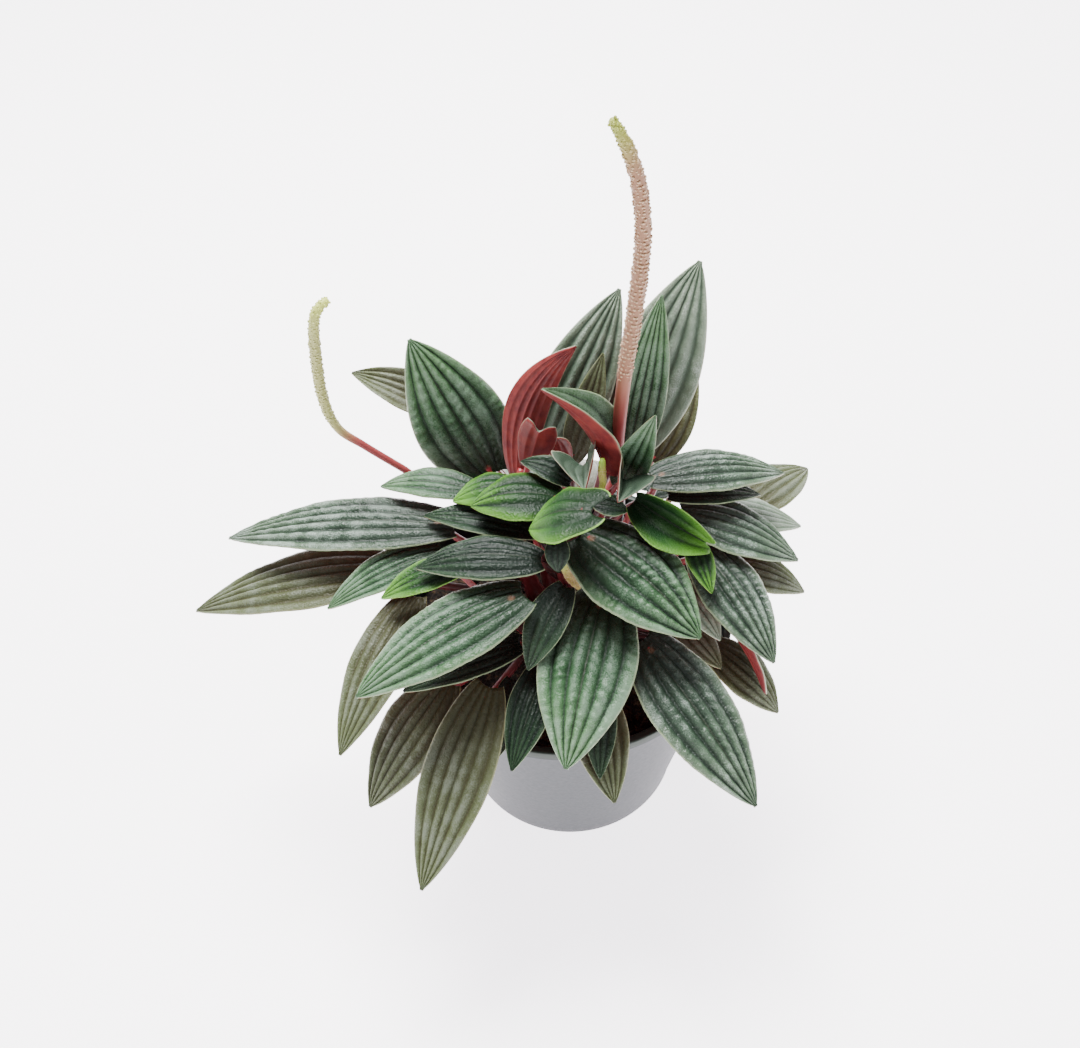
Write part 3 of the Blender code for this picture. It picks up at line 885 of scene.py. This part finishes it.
@dataclass(frozen=True)
class Spike:
    """A flower spike: pixels up to its tip with their heights, and its radius from stem to tip."""

    name: str
    stem: int
    route: tuple[Pixel, ...]
    heights: tuple[float, ...]
    radii: tuple[float, ...]
    rough_from: int
    finish: SpikeFinish
    knob_radius: float = 0.46
    spacing: float = 1.15

    def anchors(self) -> list[Vector]:
        """The points that the spike runs through, from its stem up."""
        stem = STEMS[self.stem]
        foot = stem.at(stem.top)
        lean = (foot - stem.at(SOIL_TOP)).normalized()
        route = [VIEW.sight(pixel, height) for pixel, height in zip(self.route, self.heights)]
        rise = 0.35 * (route[0] - foot).length
        return [foot + 2.0 * GAP * lean, foot + rise * lean, *route]

    def smooth(self, count: int) -> tuple[np.ndarray, np.ndarray]:
        """Runs a smooth curve through the anchors.

        Args:
            count: Number of steps.

        Returns:
            The points and the radius at each.
        """
        anchors = self.anchors()
        last = len(anchors) - 1
        points, radii = [], []
        for step in range(count + 1):
            place = step / count * last
            i = min(int(place), last - 1)
            t = place - i
            before, a, b, after = (anchors[max(0, min(last, k))] for k in (i - 1, i, i + 1, i + 2))
            points.append(
                0.5 * (2 * a + (b - before) * t + (2 * before - 5 * a + 4 * b - after) * t * t
                       + (3 * a - before - 3 * b + after) * t**3)
            )
            radii.append(self.radii[i] * (1 - t) + self.radii[i + 1] * t)
        return np.array([tuple(point) for point in points]), np.array(radii)

    def build(self) -> bpy.types.Object:
        """Makes the smooth core and sets the knobs round it in a spiral.

        Returns:
            The spike.
        """
        points, radii = self.smooth(160)
        core = radii.copy()
        core[-4:] *= (0.94, 0.84, 0.66, 0.35)
        tube = Tube(points, core, 14)
        verts, faces, rise = tube.mesh()
        rough = self.rough_from / (len(self.radii) - 1)
        knobs, knob_faces, knob_rise, crown = self.knobs(tube, radii, rough, len(verts))
        total = np.concatenate([verts, knobs])
        traits = {
            "rise": np.concatenate([rise, knob_rise]),
            "knob": np.concatenate([np.zeros(len(verts)), crown]),
        }
        return link_mesh(f"flower_{self.name}", total, faces + knob_faces, [self.finish], traits)

    def knobs(
        self, tube: Tube, radii: np.ndarray, rough: float, start: int
    ) -> tuple[np.ndarray, list, np.ndarray, np.ndarray]:
        """Sets the small round knobs on the cone.

        Args:
            tube: The spike's core.
            radii: Its radius at each point of the route.
            rough: Share of the route where the knobs begin.
            start: Number of the first knob's first point.

        Returns:
            Their points and faces, each point's share of the route, and how near it is to a knob's crown.
        """
        shape, corners = ball()
        lengths = np.concatenate([[0.0], np.cumsum(np.linalg.norm(np.diff(tube.points, axis=0), axis=1))])
        first, second = tube.frames()
        shares = np.linspace(0.0, 1.0, len(lengths))
        begin = np.interp(rough, shares, lengths)
        random = np.random.default_rng(5)
        verts, faces, rise, crown = [], [], [], []
        place, turn = begin, 0.0
        while place < lengths[-1] - 0.3:
            jitter, slip = random.uniform(-1.0, 1.0, 2)
            along = place + 0.35 * self.spacing * slip
            k = int(np.searchsorted(lengths, along).clip(1, len(lengths) - 1))
            around = first[k] * math.cos(turn) + second[k] * math.sin(turn)
            size = self.knob_radius * (1.0 + 0.22 * jitter) * min(1.0, 0.45 + (place - begin) * 0.12)
            centre = tube.points[k] + around * (radii[k] * (0.95 + 0.05 * jitter))
            faces += [[corner + start + len(shape) * len(verts) for corner in face] for face in corners]
            verts.append(centre + shape * size)
            rise.append(shares[k])
            crown.append((shape @ around).clip(0.0, 1.0))
            place += self.spacing**2 / (2 * math.pi * radii[k])
            turn += math.radians(137.5) + 0.3 * jitter
        return np.concatenate(verts), faces, np.repeat(np.array(rise), len(shape)), np.concatenate(crown)


def circle(radius: float, height: float, sides: int) -> list[tuple[float, float, float]]:
    """Places one ring of points.

    Args:
        radius: The ring's radius.
        height: Its height.
        sides: Number of points.

    Returns:
        The points, from +X towards +Y.
    """
    turns = [2 * math.pi * i / sides for i in range(sides)]
    return [(radius * math.cos(turn), radius * math.sin(turn), height) for turn in turns]


def turned_faces(rings: int, sides: int) -> list[tuple[int, ...]]:
    """Lists a turned surface's faces, from its middle point 0 out to its last ring.

    Args:
        rings: Number of rings after the middle point.
        sides: Points in each ring.

    Returns:
        The fan round the middle, and the bands between the rings.
    """
    faces = []
    for i in range(sides):
        j = (i + 1) % sides
        faces.append((0, 1 + i, 1 + j))
        for k in range(rings - 1):
            low, high = 1 + k * sides, 1 + (k + 1) * sides
            faces.append((low + i, high + i, high + j, low + j))
    return faces


@dataclass
class Pot:
    """The tapered nursery pot, in millimetres."""

    height: float = 95.0
    rim_radius: float = 60.0
    foot_radius: float = 42.0
    wall: float = 1.4
    floor: float = 2.0
    lip_width: float = 2.8
    lip_drop: float = 5.0
    sides: int = 144

    def profile(self) -> list[tuple[float, float]]:
        """Draws the wall's outline.

        Returns:
            Each point's radius and height: up the inside, over the lip and down to the foot.
        """
        taper = (self.rim_radius - self.foot_radius) / self.height
        lip_z = self.height - self.lip_drop
        inner = self.rim_radius - self.lip_width
        points = [
            (0.0, self.floor),
            (self.foot_radius + taper * self.floor - self.wall - 1.0, self.floor),
            (self.foot_radius + taper * self.floor - self.wall + 0.1, self.floor + 1.0),
            (self.foot_radius + taper * lip_z - self.wall, lip_z),
            (inner, self.height - 1.2),
        ]
        low, high = self.height - 0.6, self.height - 0.7
        points += [(inner + 0.6 - 0.6 * math.cos(a), low + 0.6 * math.sin(a)) for a in (0.5, 1.0, 1.57)]
        outer = self.rim_radius - 0.7
        points += [(outer + 0.7 * math.sin(a), high + 0.7 * math.cos(a)) for a in (0.0, 0.5, 1.0, 1.57)]
        points += [
            (self.rim_radius - 0.12, self.height - 4.2),
            (self.rim_radius - 1.0, self.height - 4.6),
            (self.foot_radius + taper * 4.0, 4.0),
            (self.foot_radius + 0.6, 1.0),
            (self.foot_radius, 0.0),
            (0.0, 0.0),
        ]
        return points

    def build(self) -> None:
        profile = self.profile()
        verts = [(0.0, 0.0, profile[0][1])]
        for radius, height in profile[1:-1]:
            verts += circle(radius, height, self.sides)
        last, end = len(verts), len(verts) - self.sides
        verts.append((0.0, 0.0, 0.0))
        faces = turned_faces(len(profile) - 2, self.sides)
        faces += [(end + (i + 1) % self.sides, end + i, last) for i in range(self.sides)]
        points = np.array(verts)
        piece = link_mesh("nursery_pot", points, faces, [POT], {"rise": points[:, 2] / self.height})
        piece.data.set_sharp_from_angle(angle=math.radians(50))
        declare(piece, "pot", "pot")


@dataclass
class Soil:
    """The potting soil's lumpy top and plain body, with loose crumbs."""

    pot: Pot
    top: float = SOIL_TOP
    rings: int = 44
    sides: int = 120
    lump: float = 1.1
    crumbs: int = 420

    EDGE_DROP = 1.5

    def lift(self, x: float, y: float) -> float:
        """Finds how far the soil stands above its mean level.

        Args:
            x: Place across the pot.
            y: Place from front to back.

        Returns:
            The height in millimetres.
        """
        coarse = math.sin(0.31 * x + 0.17 * y) * math.cos(0.37 * y - 0.11 * x)
        fine = math.sin(1.3 * x - 0.8 * y + 2.0 * math.sin(0.7 * y)) * math.cos(1.1 * y + 0.9 * x)
        return self.lump * coarse + 0.45 * fine

    def radius(self, height: float) -> float:
        """The soil's radius at a height, a small gap inside the pot's wall."""
        taper = (self.pot.rim_radius - self.pot.foot_radius) / self.pot.height
        return self.pot.foot_radius - self.pot.wall - GAP + taper * height

    def build(self) -> None:
        """Makes the soil and its crumbs as one piece."""
        edge = self.radius(self.top - self.EDGE_DROP)
        verts = [(0.0, 0.0, self.top + self.lift(0.0, 0.0))]
        for k in range(1, self.rings + 1):
            share = max(0.0, (k / self.rings - 0.93) / 0.07)
            for x, y, level in circle(edge * k / self.rings, self.top, self.sides):
                verts.append((x, y, level + self.lift(x, y) * (1.0 - 0.5 * share) - self.EDGE_DROP * share))
        floor = self.pot.floor + GAP
        verts += circle(self.radius(floor), floor, self.sides)
        faces = turned_faces(self.rings + 1, self.sides)
        end = 1 + self.rings * self.sides
        faces.append(tuple(end + i for i in reversed(range(self.sides))))
        self.scatter(verts, faces, edge)
        piece = link_mesh("potting_soil", np.array(verts), faces, [SOIL], {})
        declare(piece, "soil", "soil")

    def scatter(self, verts: list, faces: list, edge: float) -> None:
        """Adds the loose crumbs.

        Args:
            verts: The soil's points, which this adds to.
            faces: The soil's faces, which this adds to.
            edge: The soil's radius at its top.
        """
        random = np.random.default_rng(11)
        shape, corners = ball()
        for _ in range(self.crumbs):
            radius = edge * 0.94 * math.sqrt(random.uniform(0.02, 1.0))
            turn = random.uniform(0.0, 2 * math.pi)
            x, y = radius * math.cos(turn), radius * math.sin(turn)
            size = random.uniform(0.5, 1.5)
            grain = shape * random.uniform(0.6, 1.2, 3) * size * random.uniform(0.8, 1.2, (len(shape), 1))
            start = len(verts)
            place = np.array((x, y, self.top + self.lift(x, y) + 0.2 * size))
            verts += [tuple(point) for point in grain + place]
            faces += [tuple(corner + start for corner in face) for face in corners]


@dataclass
class Studio:
    """The white floor, the soft light and the photograph's camera."""

    floor_size: float = 12.0
    aim: tuple[float, float, float] = (0.0, 0.0, 0.12)
    surround: Colour = (0.97, 0.96, 1.0)
    surround_strength: float = 0.5

    def build(self) -> None:
        """Makes the floor, the lights and the camera."""
        self.add_floor()
        self.add_lights()
        self.add_camera()

    def add_floor(self) -> None:
        """Adds the plain floor."""
        half = 0.5 * self.floor_size / MM
        corners = np.array([(-half, -half, 0.0), (half, -half, 0.0), (half, half, 0.0), (-half, half, 0.0)])
        floor = link_mesh("floor", corners, [(0, 1, 2, 3)], [FLOOR], {})

    def add_lights(self) -> None:
        """Adds a soft light above and behind, a weak one in front, and an even white surround."""
        world = bpy.data.worlds.new("studio")
        world.use_nodes = True
        sky = world.node_tree.nodes["Background"]
        sky.inputs["Color"].default_value = (*self.surround, 1.0)
        sky.inputs["Strength"].default_value = self.surround_strength
        bpy.context.scene.world = world
        self.area("softbox", (-0.12, 0.40, 1.15), 0.55, 48.0)
        self.area("fill", (0.45, -0.7, 0.8), 0.9, 2.5)

    def area(self, name: str, place: tuple[float, float, float], size: float, watts: float) -> None:
        """Adds a square light that faces the plant.

        Args:
            name: The light's name.
            place: Where it hangs, in metres.
            size: Its side, in metres.
            watts: Its power.
        """
        lamp = bpy.data.lights.new(name, "AREA")
        lamp.size = size
        lamp.energy = watts
        holder = bpy.data.objects.new(name, lamp)
        holder.location = place
        holder.rotation_euler = (Vector(place) - Vector(self.aim)).to_track_quat("Z", "Y").to_euler()
        bpy.context.scene.collection.objects.link(holder)

    @staticmethod
    def add_camera() -> None:
        """Adds the camera at the photograph's viewpoint."""
        lens = bpy.data.cameras.new("camera")
        lens.sensor_width = VIEW.sensor_mm
        lens.lens = VIEW.focal_px * VIEW.sensor_mm / VIEW.width_px
        lens.clip_start = 0.01
        camera = bpy.data.objects.new("camera", lens)
        right, up, back = VIEW.axes()
        turned = Matrix((right, up, back)).transposed().to_4x4()
        camera.matrix_world = Matrix.Translation(VIEW.eye() * MM) @ turned
        bpy.context.scene.collection.objects.link(camera)
        bpy.context.scene.camera = camera


LEAVES = [
    Leaf("top_1", (585, 509), (527, 527), 171, 158, 23, 4, 0, -0.20, AgeAndLight.YOUNG, lobe=1.2),
    Leaf("top_2", (552, 495), (470, 503), 157, 154, 21, 5, 0, -0.25, AgeAndLight.YOUNG),
    Leaf("top_3", (515, 486), (452, 499), 151, 148, 15, 4, 0, -0.25, AgeAndLight.YOUNG, quilt=0.25),
    Leaf("top_4", (568, 480), (521, 460), 157, 161, 9, 3, 0, 0.15, AgeAndLight.DARK, quilt=0.25),
    Leaf("top_5", (583, 466), (584, 489), 158, 166, 15, 1, -18, 1.3, AgeAndLight.GREY, quilt=0.25),
    Leaf("top_6", (624, 480), (619, 501), 158, 166, 13, 1, 25, 1.3, AgeAndLight.GREY, quilt=0.25),
    Leaf("top_7", (622, 482), (655, 417), 150, 184, 12, 2, 0, 0.30, AgeAndLight.MATURE, stem=1, quilt=0.25),
    Leaf("front_1", (591, 538), (702, 636), 150, 136, 33, 6, 0, -0.22, AgeAndLight.MATURE, quilt=1.0),
    Leaf("front_2", (600, 605), (565, 769), 134, 112, 32, 6, 0, -0.22, AgeAndLight.MATURE, quilt=1.0),
    Leaf("front_3", (651, 650), (758, 806), 122, 96, 28, 5, 0, -0.22, AgeAndLight.SILVERY, quilt=1.0),
    Leaf("front_4", (511, 598), (354, 695), 143, 130, 26, 6, 0, -0.20, AgeAndLight.MATURE, quilt=0.8),
    Leaf("front_5", (532, 557), (415, 565), 150, 146, 18, 5, 0, -0.25, AgeAndLight.DARK),
    Leaf("front_6", (563, 592), (527, 670), 140, 125, 14, 3, 0, 0.15, AgeAndLight.DARK, quilt=0.25),
    Leaf("front_7", (545, 668), (511, 771), 118, 104, 15, 3, 0, 0.10, AgeAndLight.DARK, quilt=0.25),
    Leaf("front_8", (512, 645), (402, 690), 120, 113, 17, 4, 0, 0.05, AgeAndLight.DARK),
    Leaf("front_9", (590, 690), (615, 803), 108, 92, 19, 4, 0, -0.15, AgeAndLight.OLIVE),
    Leaf("front_10", (600, 690), (600, 779), 118, 103, 11, 2, 0, 0.1, AgeAndLight.DARK, quilt=0.25),
    Leaf("front_11", (557, 540), (558, 573), 156, 148, 8, 2, 0, 0.1, AgeAndLight.DARK, quilt=0.25),
    Leaf("low_1", (483, 700), (420, 891), 112, 76, 24, 4, 0, -0.10, AgeAndLight.OLIVE),
    Leaf("low_2", (440, 690), (368, 807), 107, 79, 24, 4, 0, -0.10, AgeAndLight.OLIVE),
    Leaf("low_3", (408, 605), (338, 755), 126, 103, 20, 5, 0, -0.15, AgeAndLight.OLIVE),
    Leaf("low_4", (718, 650), (780, 712), 100, 84, 18, 4, 0, -0.10, AgeAndLight.OLIVE),
    Leaf("low_5", (680, 624), (722, 668), 107, 100, 12, 2, 0, 0.0, AgeAndLight.OLIVE, quilt=0.25),
    Leaf("low_6", (685, 590), (721, 640), 125, 116, 11, 2, 0, 0.0, AgeAndLight.PALE, quilt=0.25),
    Leaf("low_7", (724, 618), (768, 693), 114, 94, 14, 2, 70, 0.1, AgeAndLight.PALE, quilt=0.25),
    Leaf("left_1", (437, 522), (227, 535), 139, 125, 24, 6, 0, -0.20, AgeAndLight.SILVERY, quilt=1.0),
    Leaf("left_2", (380, 568), (194, 608), 122, 104, 26, 6, 0, -0.15, AgeAndLight.OLIVE),
    Leaf("left_3", (432, 553), (326, 607), 134, 122, 16, 4, 0, 0.05, AgeAndLight.MATURE, quilt=0.25),
    Leaf("left_4", (455, 568), (380, 597), 141, 133, 13, 3, 0, 0.0, AgeAndLight.YOUNG, quilt=0.25),
    Leaf("left_5", (470, 488), (380, 484), 144, 142, 14, 4, 0, -0.1, AgeAndLight.MATURE, quilt=0.25),
    Leaf("left_6", (530, 530), (424, 514), 144, 143, 14, 3, 0, 0.1, AgeAndLight.DARK, quilt=0.25),
    Leaf("left_7", (440, 408), (352, 372), 135, 150, 16, 3, 0, 0.3, AgeAndLight.OLIVE, stem=5, quilt=0.25),
    Leaf("right_1", (662, 474), (785, 470), 156, 148, 19, 5, 0, -0.25, AgeAndLight.SILVERY, quilt=0.8),
    Leaf("right_2", (745, 505), (808, 466), 122, 118, 20, 4, 0, -0.10, AgeAndLight.OLIVE),
    Leaf("right_3", (675, 492), (761, 493), 148, 141, 13, 3, 0, -0.1, AgeAndLight.DARK, quilt=0.25),
    Leaf("right_4", (700, 512), (802, 524), 136, 126, 18, 4, 0, -0.15, AgeAndLight.PALE),
    Leaf("right_5", (690, 512), (800, 558), 142, 129, 22, 5, 0, -0.2, AgeAndLight.SILVERY, quilt=0.7),
    Leaf("right_6", (725, 562), (806, 590), 126, 114, 18, 4, 0, -0.1, AgeAndLight.OLIVE),
    Leaf("right_7", (705, 552), (776, 662), 135, 118, 22, 5, 0, -0.2, AgeAndLight.SILVERY, quilt=1.0),
    Leaf("right_8", (640, 503), (713, 547), 155, 146, 15, 2, -50, 1.2, AgeAndLight.YOUNG,
         quilt=0.25, blunt=0.08, notch=2.5),
    Leaf("right_9", (692, 541), (712, 593), 145, 138, 9, 1, 0, 0.1, AgeAndLight.YOUNG, quilt=0.25),
    Leaf("back_1", (488, 468), (410, 341), 130, 184, 33, 5, 0, -0.12, AgeAndLight.MATURE, quilt=1.0),
    Leaf("back_2", (549, 444), (619, 290), 140, 196, 26, 4, 0, -0.05, AgeAndLight.PALE),
    Leaf("back_3", (522, 468), (577, 345), 144, 190, 15, 3, 180, 0.25, AgeAndLight.MATURE, quilt=0.25, sweep=-7.0),
    Leaf("back_4", (574, 454), (603, 354), 143, 180, 12, 2, 0, 0.15, AgeAndLight.OLIVE, stem=5, quilt=0.25),
    Leaf("back_5", (605, 466), (545, 388), 158, 192, 15, 4, -60, 1.2, AgeAndLight.MATURE, quilt=0.25),
    Leaf("back_6", (626, 440), (700, 262), 142, 204, 31, 4, 0, -0.08, AgeAndLight.PALE, quilt=0.6),
    Leaf("back_7", (628, 456), (662, 296), 147, 202, 17, 3, 0, -0.05, AgeAndLight.MATURE),
    Leaf("back_8", (655, 456), (697, 371), 130, 155, 16, 3, 0, 0.0, AgeAndLight.OLIVE, quilt=0.25),
    Leaf("back_9", (529, 463), (541, 424), 152, 170, 13, 2, 180, 0.30, AgeAndLight.GREY,
         quilt=0.25, blunt=0.3, notch=3.0),
    Leaf("rear_1", (580, 484), (580, 458), 118, 90, 22, 4, 0, -0.15, AgeAndLight.OLIVE),
    Leaf("rear_2", (520, 484), (490, 460), 115, 86, 22, 4, 0, -0.15, AgeAndLight.MATURE),
    Leaf("rear_3", (653, 487), (701, 465), 113, 87, 24, 4, 0, -0.15, AgeAndLight.MATURE),
]

# Tiny leaves that fill the gaps between the others; the two in the near-black finish are painted shade in
# those gaps.
BUDS = [
    Leaf("bud_middle", (598, 503), (629, 510), 158, 155, 9, 1, 0, -0.1, AgeAndLight.DARK, quilt=0.25),
    Leaf("bud_front", (512, 684), (499, 756), 108, 96, 11, 2, 0, 0.1, AgeAndLight.DARK, quilt=0.25),
    Leaf("bud_back", (566, 463), (556, 437), 146, 160, 8, 1, 180, 0.4, AgeAndLight.GREY, quilt=0.25),
]

SPIKES = [
    Spike(
        "spike_tall",
        7,
        ((619, 470), (618, 440), (624, 380), (635, 310), (643, 240), (639, 185), (626, 145), (611, 118)),
        (146, 163, 190, 216, 240, 258, 270, 277),
        (1.9, 1.9, 1.9, 2.1, 2.3, 2.4, 2.3, 2.1, 1.8, 1.2),
        4,
        SpikeFinish("spike_tan", 0.55, cone_from=0.42),
    ),
    Spike(
        "spike_left",
        6,
        ((440, 490), (402, 468), (365, 446), (338, 428), (323, 398), (315, 350), (315, 315), (328, 299)),
        (131, 143, 155, 164, 177, 196, 209, 212),
        (1.3, 1.3, 1.3, 1.3, 1.3, 1.5, 1.8, 1.8, 1.6, 1.2),
        5,
        SpikeFinish(
            "spike_green", 0.55, cone=(0.36, 0.36, 0.12), knob=(0.60, 0.60, 0.28), tip=(0.50, 0.56, 0.10),
            cone_from=0.52,
        ),
        knob_radius=0.42,
    ),
    Spike(
        "spike_bud",
        1,
        ((604, 492), (603, 482), (602, 470), (602, 459)),
        (153, 159, 165, 170),
        (1.0, 1.0, 1.0, 1.2, 1.3, 0.8),
        3,
        SpikeFinish("spike_bud_lime", 0.5, cone=(0.34, 0.36, 0.06), tip=(0.34, 0.60, 0.05), cone_from=0.4),
        knob_radius=0.22,
        spacing=0.6,
    ),
    Spike(
        "spike_curled",
        3,
        ((594, 590), (583, 588), (572, 580), (566, 571), (563, 561)),
        (124, 129, 135, 141, 145),
        (1.0, 1.0, 1.1, 1.3, 1.4, 1.3, 0.8),
        3,
        SpikeFinish("spike_curl_lime", 0.5, cone=(0.45, 0.36, 0.10), tip=(0.46, 0.60, 0.07), cone_from=0.35),
        knob_radius=0.25,
        spacing=0.65,
    ),
]


def main() -> None:
    logging.basicConfig(level=logging.INFO)
    Studio().build()
    Foliage(LEAVES, BUDS).build()
    Stalks(LEAVES).build()
    for spike in SPIKES:
        declare(spike.build(), "spike", spike.name)
    pot = Pot()
    pot.build()
    Soil(pot).build()


if __name__ == "__main__":
    main()
